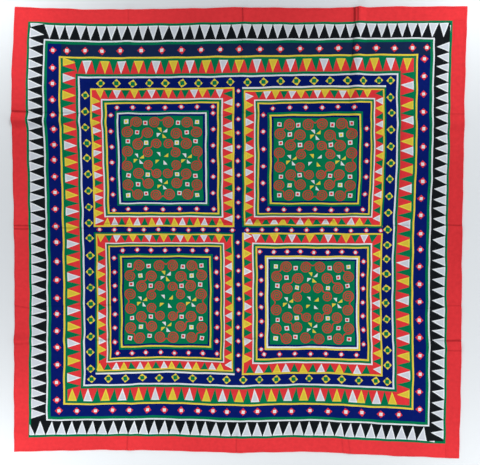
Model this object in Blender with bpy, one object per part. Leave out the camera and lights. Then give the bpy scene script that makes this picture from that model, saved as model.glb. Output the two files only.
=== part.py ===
"""Ralli quilt: a square patchwork cover of dyed cotton, laid flat with its storage folds still in it.

The flat pattern is drawn in millimetres, u to the right and v up, from the middle of the quilt.
lay() carries any point of the pattern to where the cloth really lies: sewn a little out of true,
pushed about sideways, and lifted off the surface along the old fold lines.
Each panel that a maker would cut is one closed solid, and neighbours stop a seam gap apart.
"""

import bpy
import numpy as np

MM = 0.001

# Driving sizes, in millimetres. The sash is a cross: half the width of its upright and of its arms
HALF_SIDE = 1050.0
THICKNESS = 3.0
SEAM_GAP = 0.3
HALF_UPRIGHT = 18.5
HALF_ARM = 13.5

# The strips that frame the quilt, from the outer edge inwards: width, cloth
RINGS = {
    "border": (68.0, "red_cotton"),
    "saw_band": (87.0, "black_cotton"),
    "diamond_band": (77.5, "navy_cotton"),
    "triangle_band": (81.0, "green_cotton"),
    "inner_band": (56.5, "navy_cotton"),
}

# The strips that frame each block, from its outer edge inwards: cloth
BLOCK_STRIPS = {"teeth": "red_cotton", "diamonds": "navy_cotton"}

# Which way each block lies from the middle of the quilt, across and up, and how wide its strips are on
# its left, top, right and bottom
BLOCKS = {
    "nw": {"lies": (-1, 1), "teeth": (66.0, 66.0, 71.0, 62.0), "diamonds": (72.0, 65.0, 74.0, 64.0)},
    "ne": {"lies": (1, 1), "teeth": (71.0, 74.0, 65.0, 62.0), "diamonds": (74.0, 74.0, 68.0, 64.0)},
    "sw": {"lies": (-1, -1), "teeth": (66.0, 62.0, 62.0, 71.0), "diamonds": (69.0, 65.0, 66.0, 69.0)},
    "se": {"lies": (1, -1), "teeth": (64.0, 65.0, 62.0, 68.0), "diamonds": (67.0, 67.0, 66.0, 72.0)},
}

# Stations across and up the flat pattern at which the lay of the cloth is given
STATIONS = (-1050.0, -680.0, -349.0, 0.0, 349.0, 680.0, 1050.0)

# How far the cloth lies to the right of its pattern: a row for each level, from the bottom edge up,
# and in it a column for each station from the left edge
PUSHED_RIGHT = (
    ("bottom edge", (5, 8, 4, -5, -13, -10, -18)),
    ("bottom inner seam", (4, 15, 10, 1, -4, -5, -9)),
    ("lower blocks", (7, 14, 11, 3, -4, -11, -6)),
    ("middle", (4, 8, 6, 1, -1, -5, -3)),
    ("upper blocks", (-3, -1, -2, 1, 5, 11, 4)),
    ("top inner seam", (-8, -11, -2, 1, 3, 12, 10)),
    ("top edge", (8, -4, 4, 7, 6, 19, 22)),
)

# How far the cloth lies above its pattern, towards the top edge, in the same rows and columns
PUSHED_UP = (
    ("bottom edge", (13, 21, 19, 9, 13, -3, -18)),
    ("bottom inner seam", (7, 4, 12, 2, 8, -6, -26)),
    ("lower blocks", (6, 5, 7, 4, 1, 0, -5)),
    ("middle", (1, 0, 1, -1, -2, -4, -6)),
    ("upper blocks", (-12, -12, -13, -10, -12, -9, -7)),
    ("top inner seam", (-6, -19, -19, -15, -8, -6, -5)),
    ("top edge", (-9, -21, -19, -12, -15, -9, -7)),
)

# The fold lines. Each runs across or up the cloth from start to end, with its crest at the two places
# there, stands the given heights at its start, middle and end, and reaches half_width to each side.
# One that stops short of an edge has run out to nothing there
FOLDS = (
    # name, runs, places, start, end, heights, half_width
    ("upper fold", "across", (523, 498), -1050, 1050, (16, 5, 6), 36),
    ("middle fold", "across", (26, 8), -1050, 1050, (3, 5, 4), 34),
    ("lower fold", "across", (-520, -541), -1050, 1050, (7, 3, 6), 30),
    ("lower crease", "across", (-350, -350), -1050, -400, (3, 2, 0), 24),
    ("right crease", "across", (-372, -372), 700, 1050, (0, 2, 3), 24),
    ("left fold", "up", (-509, -509), -1050, 1050, (5, 3, 4), 30),
    ("centre fold", "up", (22, 22), -1050, 1050, (3, 4, 3), 30),
    ("right fold", "up", (530, 552), -1050, 1050, (3, 5, 14), 36),
)
FOLD_ROUNDING = 0.12
FOLD_PLUMPNESS = 1.5
TAKE_UP = 1.2

# The sample lines: how far apart they may be, how close one may come to a seam, and where in its
# half width a fold has them, which depends on whether it is tall
LONGEST_STEP = 90.0
SHORTEST_STEP = 6.0
TALL_FOLD = 8
TALL_FOLD_SHARES = (0, -1, 1, -0.4, 0.4)
LOW_FOLD_SHARES = (0, -1, 1)

# How far inside its own edge a panel's next sample line is at least, the step between the points that
# a normal is found from, and the number of points along each side that the outline is found from
EDGE_CLEARANCE = 1.0
NORMAL_STEP = 1.0
OUTLINE_SAMPLES = 421

# The cloths: colour, roughness
CLOTHS = {
    "red_cotton": ((0.72, 0.045, 0.05), 0.85),
    "black_cotton": ((0.012, 0.012, 0.013), 0.85),
    "navy_cotton": ((0.002, 0.009, 0.13), 0.85),
    "faded_navy_cotton": ((0.008, 0.022, 0.075), 0.9),
    "green_cotton": ((0.001, 0.17, 0.07), 0.85),
}


def clear_scene():
    """Removes every object that the file opened with."""
    for thing in list(bpy.data.objects):
        bpy.data.objects.remove(thing)


def cloth_material(name):
    """The Principled material of one dyed cotton."""
    colour, roughness = CLOTHS[name]
    material = bpy.data.materials.new(name)
    material.use_nodes = True
    shader = material.node_tree.nodes["Principled BSDF"]
    shader.inputs["Base Color"].default_value = (*colour, 1.0)
    shader.inputs["Roughness"].default_value = roughness
    shader.inputs["Metallic"].default_value = 0.0
    return material


def curve_weights(t):
    """Cubic weights of the stations at the positions t: a Hermite curve through them, whose slope at
    each station is that of the line between its two neighbours."""
    stations = np.array(STATIONS)
    last = len(stations) - 1
    slopes = np.zeros((last + 1, last + 1))
    for i in range(last + 1):
        low, high = max(i - 1, 0), min(i + 1, last)
        run = stations[high] - stations[low]
        slopes[i, high] += 1 / run
        slopes[i, low] -= 1 / run
    t = np.clip(t, stations[0], stations[-1])
    i = np.clip(np.searchsorted(stations, t, side="right") - 1, 0, last - 1)
    run = stations[i + 1] - stations[i]
    s = (t - stations[i]) / run
    values = np.eye(last + 1)
    start, end = values[i], values[i + 1]
    leaving, arriving = slopes[i] * run[:, None], slopes[i + 1] * run[:, None]
    s = s[:, None]
    return (
        (1 + 2 * s) * (1 - s) ** 2 * start
        + s * (1 - s) ** 2 * leaving
        + s**2 * (3 - 2 * s) * end
        + s**2 * (s - 1) * arriving
    )


def push(table, u, v):
    """The sideways push of a table at the pattern points u, v."""
    grid = np.array([row for level, row in table], float)
    return np.einsum("ni,ij,nj->n", curve_weights(v), grid, curve_weights(u))


def ridge(s):
    """Height of a fold's cross-section at s half-widths from its line: 1 on the line, 0 from 1 on,
    a tent with a rounded crest and feet that run out flat."""
    s = np.minimum(np.sqrt(s**2 + FOLD_ROUNDING**2) - FOLD_ROUNDING, 1.0)
    return (1 - s) ** 2 * (1 + FOLD_PLUMPNESS * s)


def lay(u, v):
    """Where the underside of the cloth lies, for arrays of pattern points: x, y and z in millimetres."""
    x = u + push(PUSHED_RIGHT, u, v)
    y = v + push(PUSHED_UP, u, v)
    lift_squared = np.zeros_like(u)
    for name, runs, places, start, end, heights, half_width in FOLDS:
        along, across = (u, v) if runs == "across" else (v, u)
        points = (start, (start + end) / 2, end)
        height = np.interp(along, points, heights)
        s = (across - np.interp(along, (start, end), places)) / half_width
        lift_squared += (height * ridge(s)) ** 2
        drawn_in = TAKE_UP * height**2 / half_width * s / (1 + s**2)
        if runs == "across":
            y = y - drawn_in
        else:
            x = x - drawn_in
    return np.stack([x, y, np.sqrt(lift_squared)], axis=-1)


def outline_middle():
    """The middle of the box round the laid outline, which becomes the origin."""
    edge = np.linspace(-HALF_SIDE, HALF_SIDE, OUTLINE_SAMPLES)
    side = np.full_like(edge, HALF_SIDE)
    points = np.concatenate([lay(edge, side), lay(edge, -side), lay(side, edge), lay(-side, edge)])
    return (points.min(0) + points.max(0))[:2] / 2


def framed(outer, widths):
    """The strips that frame a rectangle, laid in turn so that each butts the next, and the rectangle
    left inside them. A rectangle is (u low, u high, v low, v high), and the widths are those of the
    left, top, right and bottom strips."""
    u_low, u_high, v_low, v_high = outer
    left, top, right, bottom = widths
    inner = (u_low + left, u_high - right, v_low + bottom, v_high - top)
    strips = {
        "left": (u_low, inner[0], inner[2], v_high),
        "top": (inner[0], u_high, inner[3], v_high),
        "right": (inner[1], u_high, v_low, inner[3]),
        "bottom": (u_low, inner[1], v_low, inner[2]),
    }
    return strips, inner


def panels():
    """Every panel of the quilt as name to (u low, u high, v low, v high, cloth)."""
    found = {}
    inner = (-HALF_SIDE, HALF_SIDE, -HALF_SIDE, HALF_SIDE)
    for ring, (width, cloth) in RINGS.items():
        strips, inner = framed(inner, [width] * 4)
        for side, box in strips.items():
            found[f"{ring}_{side}"] = (*box, cloth)
    found["diamond_band_top"] = (*found["diamond_band_top"][:4], "faded_navy_cotton")
    half = inner[1]
    found["sash_up"] = (-HALF_UPRIGHT, HALF_UPRIGHT, -half, half, "navy_cotton")
    found["sash_left"] = (-half, -HALF_UPRIGHT, -HALF_ARM, HALF_ARM, "navy_cotton")
    found["sash_right"] = (HALF_UPRIGHT, half, -HALF_ARM, HALF_ARM, "navy_cotton")
    for block, its in BLOCKS.items():
        way_across, way_up = its["lies"]
        across = sorted((way_across * HALF_UPRIGHT, way_across * half))
        up = sorted((way_up * HALF_ARM, way_up * half))
        inner = (*across, *up)
        for strip, cloth in BLOCK_STRIPS.items():
            strips, inner = framed(inner, its[strip])
            for side, box in strips.items():
                found[f"{block}_{strip}_{side}"] = (*box, cloth)
        found[f"{block}_field"] = (*inner, "green_cotton")
    return found


def sample_lines(layout, low, runs):
    """The pattern lines on which every panel is sampled: the seams, the folds' feet, flanks and
    crests, and lines between those where they are far apart. low is the place of the lower end in a
    panel's box, and runs is the direction of the folds that the lines follow."""
    lines = sorted({round(box[k], 3) for box in layout.values() for k in (low, low + 1)})
    for name, direction, places, start, end, heights, half_width in FOLDS:
        if direction != runs:
            continue
        shares = TALL_FOLD_SHARES if max(heights) >= TALL_FOLD else LOW_FOLD_SHARES
        for share in shares:
            line = sum(places) / 2 + share * half_width
            if all(abs(line - other) >= SHORTEST_STEP for other in lines):
                lines.append(line)
    lines.sort()
    filled = [lines[0]]
    for line in lines[1:]:
        steps = int(np.ceil((line - filled[-1]) / LONGEST_STEP))
        filled.extend(np.linspace(filled[-1], line, steps + 1)[1:])
    return np.array(filled)


def within(lines, low, high):
    """The sample lines strictly inside a panel, between its own two edges."""
    inside = lines[(lines > low + EDGE_CLEARANCE) & (lines < high - EDGE_CLEARANCE)]
    return np.concatenate([[low], inside, [high]])


def seam_edges(low, high):
    """A panel's two edges on one axis, each half a gap short of its seam but not of the outer edge."""
    half_gap = SEAM_GAP / 2
    low = low if low == -HALF_SIDE else low + half_gap
    high = high if high == HALF_SIDE else high - half_gap
    return low, high


def surface_normals(u, v):
    """Unit normals of the laid cloth at pattern points, from central differences."""
    along = lay(u + NORMAL_STEP, v) - lay(u - NORMAL_STEP, v)
    across = lay(u, v + NORMAL_STEP) - lay(u, v - NORMAL_STEP)
    normal = np.cross(along, across)
    return normal / np.linalg.norm(normal, axis=-1, keepdims=True)


def closed_panel_faces(columns, rows):
    """Quads of a slab on a grid: the underside first, then the upper side, then the rim."""
    index = np.arange(columns * rows).reshape(rows, columns)
    a, b = index[:-1, :-1].ravel(), index[:-1, 1:].ravel()
    c, d = index[1:, 1:].ravel(), index[1:, :-1].ravel()
    upper = columns * rows
    under_side = np.stack([a, d, c, b], axis=1)
    upper_side = np.stack([a, b, c, d], axis=1) + upper
    loop = np.concatenate([index[0, :-1], index[:-1, -1], index[-1, :0:-1], index[:0:-1, 0]])
    nxt = np.roll(loop, -1)
    rim = np.stack([loop, nxt, nxt + upper, loop + upper], axis=1)
    return np.concatenate([under_side, upper_side, rim])


def make_panel(name, box, lines_u, lines_v, middle, material):
    """One cut panel as a closed slab that follows the lay of the cloth."""
    across = within(lines_u, *seam_edges(*box[:2]))
    up = within(lines_v, *seam_edges(*box[2:]))
    u, v = (grid.ravel() for grid in np.meshgrid(across, up))
    under = lay(u, v)
    over = under + THICKNESS * surface_normals(u, v)
    points = np.concatenate([under, over])
    points[:, :2] -= middle
    mesh = bpy.data.meshes.new(name)
    mesh.from_pydata((points * MM).tolist(), [], closed_panel_faces(len(across), len(up)).tolist())
    mesh.materials.append(material)
    mesh.update()
    panel = bpy.data.objects.new(name, mesh)
    bpy.context.scene.collection.objects.link(panel)


def main():
    clear_scene()
    layout = panels()
    lines_u = sample_lines(layout, 0, "up")
    lines_v = sample_lines(layout, 2, "across")
    middle = outline_middle()
    materials = {name: cloth_material(name) for name in CLOTHS}
    for name, (*box, cloth) in layout.items():
        make_panel(name, box, lines_u, lines_v, middle, materials[cloth])


main()
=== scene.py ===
"""Ralli quilt: its dyed cloths, patchwork, applique and sewing, laid out flat with soft storage folds.

Everything is drawn on the flat pattern, in millimetres, u to the right and v up from its middle, with h
the height above the underside of the cloth. raised() carries such a point to where it really lies.
"""

import math

import bpy
import numpy as np
from bpy.props import FloatProperty, FloatVectorProperty, PointerProperty
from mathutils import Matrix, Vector


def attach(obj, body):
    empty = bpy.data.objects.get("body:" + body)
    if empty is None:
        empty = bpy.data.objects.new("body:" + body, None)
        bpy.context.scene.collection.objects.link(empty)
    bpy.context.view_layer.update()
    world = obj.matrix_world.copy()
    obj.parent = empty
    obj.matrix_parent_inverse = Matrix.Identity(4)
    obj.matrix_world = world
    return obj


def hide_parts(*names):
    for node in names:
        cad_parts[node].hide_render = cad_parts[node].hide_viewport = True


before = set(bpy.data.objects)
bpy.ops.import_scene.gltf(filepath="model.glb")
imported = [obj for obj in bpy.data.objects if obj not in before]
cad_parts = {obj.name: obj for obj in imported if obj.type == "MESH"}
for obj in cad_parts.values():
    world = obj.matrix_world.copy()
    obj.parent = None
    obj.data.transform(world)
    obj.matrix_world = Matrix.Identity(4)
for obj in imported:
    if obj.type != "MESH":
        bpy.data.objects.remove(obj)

bl_info = {
    "name": "Ralli quilt",
    "version": (1, 0, 0),
    "blender": (4, 5, 0),
    "location": "View3D > Sidebar > Quilt",
    "description": "Cloths, patchwork and applique of a ralli quilt",
    "category": "Object",
}

MM = 0.001
BODY = "root"

# Driving sizes of the flat pattern. The sash is a cross: half the width of its upright and of its arms
HALF_SIDE = 1050.0
THICKNESS = 3.0
HALF_UPRIGHT = 18.5
HALF_ARM = 13.5

# The strips that frame the quilt, from the outer edge inwards: width
RINGS = {"border": 68.0, "saw_band": 87.0, "diamond_band": 77.5, "triangle_band": 81.0, "inner_band": 56.5}

# Which way each block lies from the middle of the quilt, across and up, and how wide its strips are on
# its left, top, right and bottom
BLOCKS = {
    "nw": {"lies": (-1, 1), "teeth": (66.0, 66.0, 71.0, 62.0), "diamonds": (72.0, 65.0, 74.0, 64.0)},
    "ne": {"lies": (1, 1), "teeth": (71.0, 74.0, 65.0, 62.0), "diamonds": (74.0, 74.0, 68.0, 64.0)},
    "sw": {"lies": (-1, -1), "teeth": (66.0, 62.0, 62.0, 71.0), "diamonds": (69.0, 65.0, 66.0, 69.0)},
    "se": {"lies": (1, -1), "teeth": (64.0, 65.0, 62.0, 68.0), "diamonds": (67.0, 67.0, 66.0, 72.0)},
}

# Stations across and up the flat pattern at which the lay of the cloth is given
STATIONS = (-1050.0, -680.0, -349.0, 0.0, 349.0, 680.0, 1050.0)

# How far the cloth lies to the right of its pattern: a row for each level, from the bottom edge up,
# and in it a column for each station from the left edge
PUSHED_RIGHT = (
    ("bottom edge", (5, 8, 4, -5, -13, -10, -18)),
    ("bottom inner seam", (4, 15, 10, 1, -4, -5, -9)),
    ("lower blocks", (7, 14, 11, 3, -4, -11, -6)),
    ("middle", (4, 8, 6, 1, -1, -5, -3)),
    ("upper blocks", (-3, -1, -2, 1, 5, 11, 4)),
    ("top inner seam", (-8, -11, -2, 1, 3, 12, 10)),
    ("top edge", (8, -4, 4, 7, 6, 19, 22)),
)

# How far the cloth lies above its pattern, towards the top edge, in the same rows and columns
PUSHED_UP = (
    ("bottom edge", (13, 21, 19, 9, 13, -3, -18)),
    ("bottom inner seam", (7, 4, 12, 2, 8, -6, -26)),
    ("lower blocks", (6, 5, 7, 4, 1, 0, -5)),
    ("middle", (1, 0, 1, -1, -2, -4, -6)),
    ("upper blocks", (-12, -12, -13, -10, -12, -9, -7)),
    ("top inner seam", (-6, -19, -19, -15, -8, -6, -5)),
    ("top edge", (-9, -21, -19, -12, -15, -9, -7)),
)

# The fold lines. Each runs across or up the cloth from start to end, with its crest at the two places
# there, stands the given heights at its start, middle and end, and reaches half_width to each side
FOLDS = (
    # name, runs, places, start, end, heights, half_width
    ("upper fold", "across", (523, 498), -1050, 1050, (16, 5, 6), 36),
    ("middle fold", "across", (26, 8), -1050, 1050, (3, 5, 4), 34),
    ("lower fold", "across", (-520, -541), -1050, 1050, (7, 3, 6), 30),
    ("lower crease", "across", (-350, -350), -1050, -400, (3, 2, 0), 24),
    ("right crease", "across", (-372, -372), 700, 1050, (0, 2, 3), 24),
    ("left fold", "up", (-509, -509), -1050, 1050, (5, 3, 4), 30),
    ("centre fold", "up", (22, 22), -1050, 1050, (3, 4, 3), 30),
    ("right fold", "up", (530, 552), -1050, 1050, (3, 5, 14), 36),
)
FOLD_ROUNDING = 0.12
FOLD_PLUMPNESS = 1.5
TAKE_UP = 1.2
OUTLINE_SAMPLES = 421

# Steps of the grids that the cloths are drawn on: away from the folds, over the folds, and the most
# points that are carried to their places at a time
WIDE_STEP = 11.0
FINE_STEP = 4.0
FOLD_MARGIN = 4.0
NORMAL_STEP = 1.0
BATCH = 60000

# Sharp creases pressed into the upper side, at the feet of the folds and across the border. Their two
# ends are laid places, which are millimetres right of and above the pattern's middle as it lies
CREASES = (
    # name, start, end, depth, half_width
    ("upper fold, left border", (-1085, 552), (-965, 550), 2.6, 7.5),
    ("upper fold, left bands", (-990, 547), (-650, 542), 1.5, 5.5),
    ("upper fold, left of the sash", (-110, 533), (-5, 537), 1.1, 7.0),
    ("upper fold, right of the sash", (0, 547), (115, 545), 1.3, 5.5),
    ("upper fold, right bands", (740, 534), (830, 535), 1.0, 5.5),
    ("upper fold, right border", (975, 538), (1090, 538), 0.7, 7.0),
    ("middle fold, left border", (-1085, 20), (-960, 20), 2.2, 6.0),
    ("middle fold, left border, lower", (-1085, 4), (-965, 5), 2.0, 7.0),
    ("middle fold, left bands", (-905, 10), (-665, 7), 1.9, 5.5),
    ("middle fold, left teeth", (-668, 29), (-500, 28), 1.4, 6.0),
    ("middle fold, inner teeth", (-160, 36), (-8, 34), 1.3, 6.0),
    ("middle fold, sash", (5, 35), (115, 38), 1.7, 6.0),
    ("middle fold, tucked teeth", (40, 43), (270, 50), 2.5, 8.0),
    ("middle fold, tucked teeth, right", (230, 51), (465, 41), 2.4, 8.0),
    ("middle fold, right bands", (660, 20), (815, 19), 1.5, 5.5),
    ("middle fold, right border", (955, 20), (1070, 20), 2.1, 6.0),
    ("lower crease, left border", (-1080, -349), (-960, -366), 1.2, 7.5),
    ("lower fold, left border", (-1080, -532), (-960, -530), 1.0, 11.0),
    ("lower crease, left bands", (-980, -360), (-660, -350), 0.9, 6.0),
    ("lower crease, left teeth", (-675, -351), (-580, -350), 1.8, 5.5),
    ("lower fold, left teeth", (-670, -514), (-590, -512), 1.7, 5.5),
    ("lower fold, left of the sash", (-80, -520), (-10, -519), 1.1, 6.0),
    ("lower fold, right of the sash", (12, -508), (90, -507), 1.8, 5.5),
    ("right crease, middle of the border", (955, -356), (1060, -354), 1.0, 6.0),
    ("right crease, teeth", (600, -373), (680, -371), 1.6, 5.0),
    ("right crease, bands", (800, -371), (960, -362), 1.0, 5.0),
    ("lower fold, right band", (880, -518), (975, -518), 1.3, 6.0),
    ("lower fold, right border", (955, -518), (1075, -516), 2.6, 7.5),
    ("lower fold, right border, foot", (955, -562), (1075, -562), 1.3, 6.0),
    ("right fold, top border", (543, 1085), (542, 955), 2.7, 7.5),
    ("right fold, top border, right", (557, 1085), (556, 955), 1.9, 6.0),
    ("right fold, bands", (544, 985), (532, 790), 1.8, 7.0),
    ("right fold, inner bands", (531, 810), (518, 560), 1.0, 7.0),
    ("right fold, bottom border", (483, -955), (491, -1055), 0.7, 6.0),
    ("right fold, bottom border, right", (511, -955), (525, -1055), 0.8, 6.0),
    ("centre fold, top border", (21, 1080), (20, 960), 2.0, 6.0),
    ("centre fold, bands", (22, 985), (12, 720), 1.0, 6.0),
    ("centre fold, bottom border", (-4, -940), (-8, -1055), 1.0, 6.0),
    ("left fold, top border", (-511, 1070), (-511, 955), 0.6, 6.0),
    ("left fold, bottom border", (-514, -930), (-516, -1055), 1.2, 6.0),
)
CREASE_FADE = 0.14
CREASE_STEP = 2.2
CREASED_CELLS = 3

# Gathers of the border, which run across its strips: wave length along the strip, start in turns, size
GATHERS = ((46.0, 0.3, 0.34), (71.0, 0.8, 0.28), (29.0, 0.1, 0.14))
GATHER_STEP = 6.5

# Where the places in the tables of motifs are measured from, as the pattern's middle lies
MEASURED_FROM = (4.9, -10.3)

# Waves in the sewn cloth: how far they reach sideways, and how much they plump it up or draw it in, as
# rows of wave length across, wave length up, start of the wave in turns, size
SIDEWAYS_WAVES = ((310, 190, 0.1, 0.7), (-170, 260, 0.6, 0.6), (120, -95, 0.3, 0.4))
PLUMP_WAVES = ((230, 150, 0.2, 0.16), (-110, 140, 0.7, 0.14), (90, 84, 0.4, 0.10))

# How a panel's edge is rounded off, as distances from the edge and shares of the full drop
ROUNDING_PLACES = (0.0, 0.8, 2.2)
ROUNDING_SHARES = (1.0, 0.3, 0.0)

# Applique: how far its turned edge slopes, and how deep its rim sits in the cloth below
TURNED_EDGE = 0.9
RIM_DEPTH = 0.2
INSET_SEEN = 20.0

# The turn of each side of a frame: the axis that it runs along, as 0 for u and 1 for v, and the way
# that is inwards on the other axis
SIDES = {"left": (1, 1), "top": (0, -1), "right": (1, -1), "bottom": (0, 1)}


def curve_weights(t):
    """Cubic weights of the stations at the positions t: a Hermite curve through them, whose slope at
    each station is that of the line between its two neighbours."""
    stations = np.array(STATIONS)
    last = len(stations) - 1
    slopes = np.zeros((last + 1, last + 1))
    for i in range(last + 1):
        low, high = max(i - 1, 0), min(i + 1, last)
        run = stations[high] - stations[low]
        slopes[i, high] += 1 / run
        slopes[i, low] -= 1 / run
    t = np.clip(t, stations[0], stations[-1])
    i = np.clip(np.searchsorted(stations, t, side="right") - 1, 0, last - 1)
    run = stations[i + 1] - stations[i]
    s = ((t - stations[i]) / run)[:, None]
    values = np.eye(last + 1)
    leaving, arriving = slopes[i] * run[:, None], slopes[i + 1] * run[:, None]
    return (
        (1 + 2 * s) * (1 - s) ** 2 * values[i]
        + s * (1 - s) ** 2 * leaving
        + s**2 * (3 - 2 * s) * values[i + 1]
        + s**2 * (s - 1) * arriving
    )


def ridge(s):
    """Height of a fold's cross-section at s half-widths from its line: 1 on the line, 0 from 1 on,
    a tent with a rounded crest and feet that run out flat."""
    s = np.minimum(np.sqrt(s**2 + FOLD_ROUNDING**2) - FOLD_ROUNDING, 1.0)
    return (1 - s) ** 2 * (1 + FOLD_PLUMPNESS * s)


def waves(rows, u, v):
    """The sum of slanting sine waves, one for each row of wave lengths, start and size."""
    total = np.zeros_like(u)
    for across, up, start, size in rows:
        total += size * np.sin(2 * np.pi * (u / across + v / up + start))
    return total


def lay(u, v):
    """Where the underside of the cloth lies, for arrays of pattern points: x, y and z in millimetres.
    The pushes are cubic curves through the tables, and the folds lift and draw in the cloth."""
    across, up = curve_weights(u), curve_weights(v)
    right, above = (np.array([row for level, row in table], float) for table in (PUSHED_RIGHT, PUSHED_UP))
    x = u + ((up @ right) * across).sum(1)
    y = v + ((up @ above) * across).sum(1)
    lift_squared = np.zeros_like(u)
    for name, runs, places, start, end, heights, half_width in FOLDS:
        along, over = (u, v) if runs == "across" else (v, u)
        height = np.interp(along, (start, (start + end) / 2, end), heights)
        s = (over - np.interp(along, (start, end), places)) / half_width
        lift_squared += (height * ridge(s)) ** 2
        drawn_in = TAKE_UP * height**2 / half_width * s / (1 + s**2)
        if runs == "across":
            y = y - drawn_in
        else:
            x = x - drawn_in
    return np.stack([x, y, np.sqrt(lift_squared)], axis=-1)


def outline_middle():
    """The middle of the box round the laid outline, which is the origin of the row frame."""
    edge = np.linspace(-HALF_SIDE, HALF_SIDE, OUTLINE_SAMPLES)
    side = np.full_like(edge, HALF_SIDE)
    points = np.concatenate([lay(edge, side), lay(edge, -side), lay(side, edge), lay(-side, edge)])
    return (points.min(0) + points.max(0))[:2] / 2


MIDDLE = outline_middle()


def laid_points(points):
    """Pattern points of laid places, by stepping back over and over by what the lay adds."""
    points = np.asarray(points, float)
    flat = points.reshape(-1, 2)
    found = flat.copy()
    for step in range(8):
        found = found + flat - lay(found[:, 0], found[:, 1])[:, :2]
    return found.reshape(points.shape)


CREASE_LINES = laid_points([(start, end) for name, start, end, depth, half_width in CREASES])


def crease_boxes():
    """The rectangle of the pattern that each sharp crease reaches: (u low, v low), (u high, v high)."""
    reach = np.array([half_width for name, start, end, depth, half_width in CREASES])[:, None]
    return np.stack([CREASE_LINES.min(1) - reach, CREASE_LINES.max(1) + reach], axis=1)


def dents(u, v):
    """How deep the sharp creases press in the upper side: a trough across each line, the square of a
    parabola, which fades out towards both ends."""
    total = np.zeros_like(u)
    for (start, end), (name, *ends, depth, half_width) in zip(CREASE_LINES, CREASES):
        run = end - start
        length = np.hypot(*run)
        along = ((u - start[0]) * run[0] + (v - start[1]) * run[1]) / length**2
        across = ((v - start[1]) * run[0] - (u - start[0]) * run[1]) / length
        fade = np.clip(np.minimum(along, 1 - along) / CREASE_FADE, 0, 1)
        trough = np.clip(1 - (across / half_width) ** 2, 0, 1) ** 2
        total = np.maximum(total, depth * trough * fade**2 * (3 - 2 * fade))
    return total


def raised(u, v, h):
    """Points of the row frame, in metres, at the height h on the cloth's own normal over u, v. Waves
    push the sewn cloth a little sideways and plump it up in step with its height, and the sharp
    creases dent it."""
    u, v, h = (a.ravel() for a in np.broadcast_arrays(u, v, h))
    points = np.empty((u.size, 3))
    for start in range(0, u.size, BATCH):
        part = slice(start, start + BATCH)
        share = np.minimum(h[part] / THICKNESS, 1)
        dent = dents(u[part], v[part]) * share
        a, b = u[part], v[part]
        a, b = a + waves(SIDEWAYS_WAVES, a, b), b + waves(SIDEWAYS_WAVES, b, a)
        under = lay(a, b)
        normal = np.cross(lay(a + NORMAL_STEP, b) - under, lay(a, b + NORMAL_STEP) - under)
        normal /= np.linalg.norm(normal, axis=-1, keepdims=True)
        height = h[part] + share * waves(PLUMP_WAVES, a, b) - dent
        points[part] = under + height[:, None] * normal
    points[:, :2] -= MIDDLE
    return points * MM


def grid_lines(low, high, axis, extra=(), beside=(-HALF_SIDE, HALF_SIDE), step=WIDE_STEP):
    """Pattern lines from low to high: step apart, FINE_STEP apart over the folds that they cross,
    CREASE_STEP apart over the sharp creases that the panel meets, and the extra ones. beside is the
    panel's reach on the other axis, and axis is 0 for lines of one u, and 1 for lines of one v."""
    zones = [
        (min(places) - half_width - FOLD_MARGIN, max(places) + half_width + FOLD_MARGIN, FINE_STEP)
        for name, runs, places, start, end, heights, half_width in FOLDS
        if runs == ("up", "across")[axis]
    ]
    for box in crease_boxes():
        spans = box[1] - box[0]
        if spans[axis] < spans[1 - axis] and box[0, 1 - axis] < beside[1] and box[1, 1 - axis] > beside[0]:
            zones.append((box[0, axis], box[1, axis], CREASE_STEP))
    ends = [end for zone in zones for end in zone[:2] if low < end < high]
    stops = np.array(sorted({low, high, *ends, *extra}))
    stops = stops[np.concatenate([[True], np.diff(stops) > 0.2])]
    stops[-1] = high
    lines = [stops[:1]]
    for start, stop in zip(stops[:-1], stops[1:]):
        middle = (start + stop) / 2
        finest = min([step, *(zone[2] for zone in zones if zone[0] < middle < zone[1])])
        steps = math.ceil((stop - start) / finest)
        lines.append(np.linspace(start, stop, steps + 1)[1:])
    return np.concatenate(lines)


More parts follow.
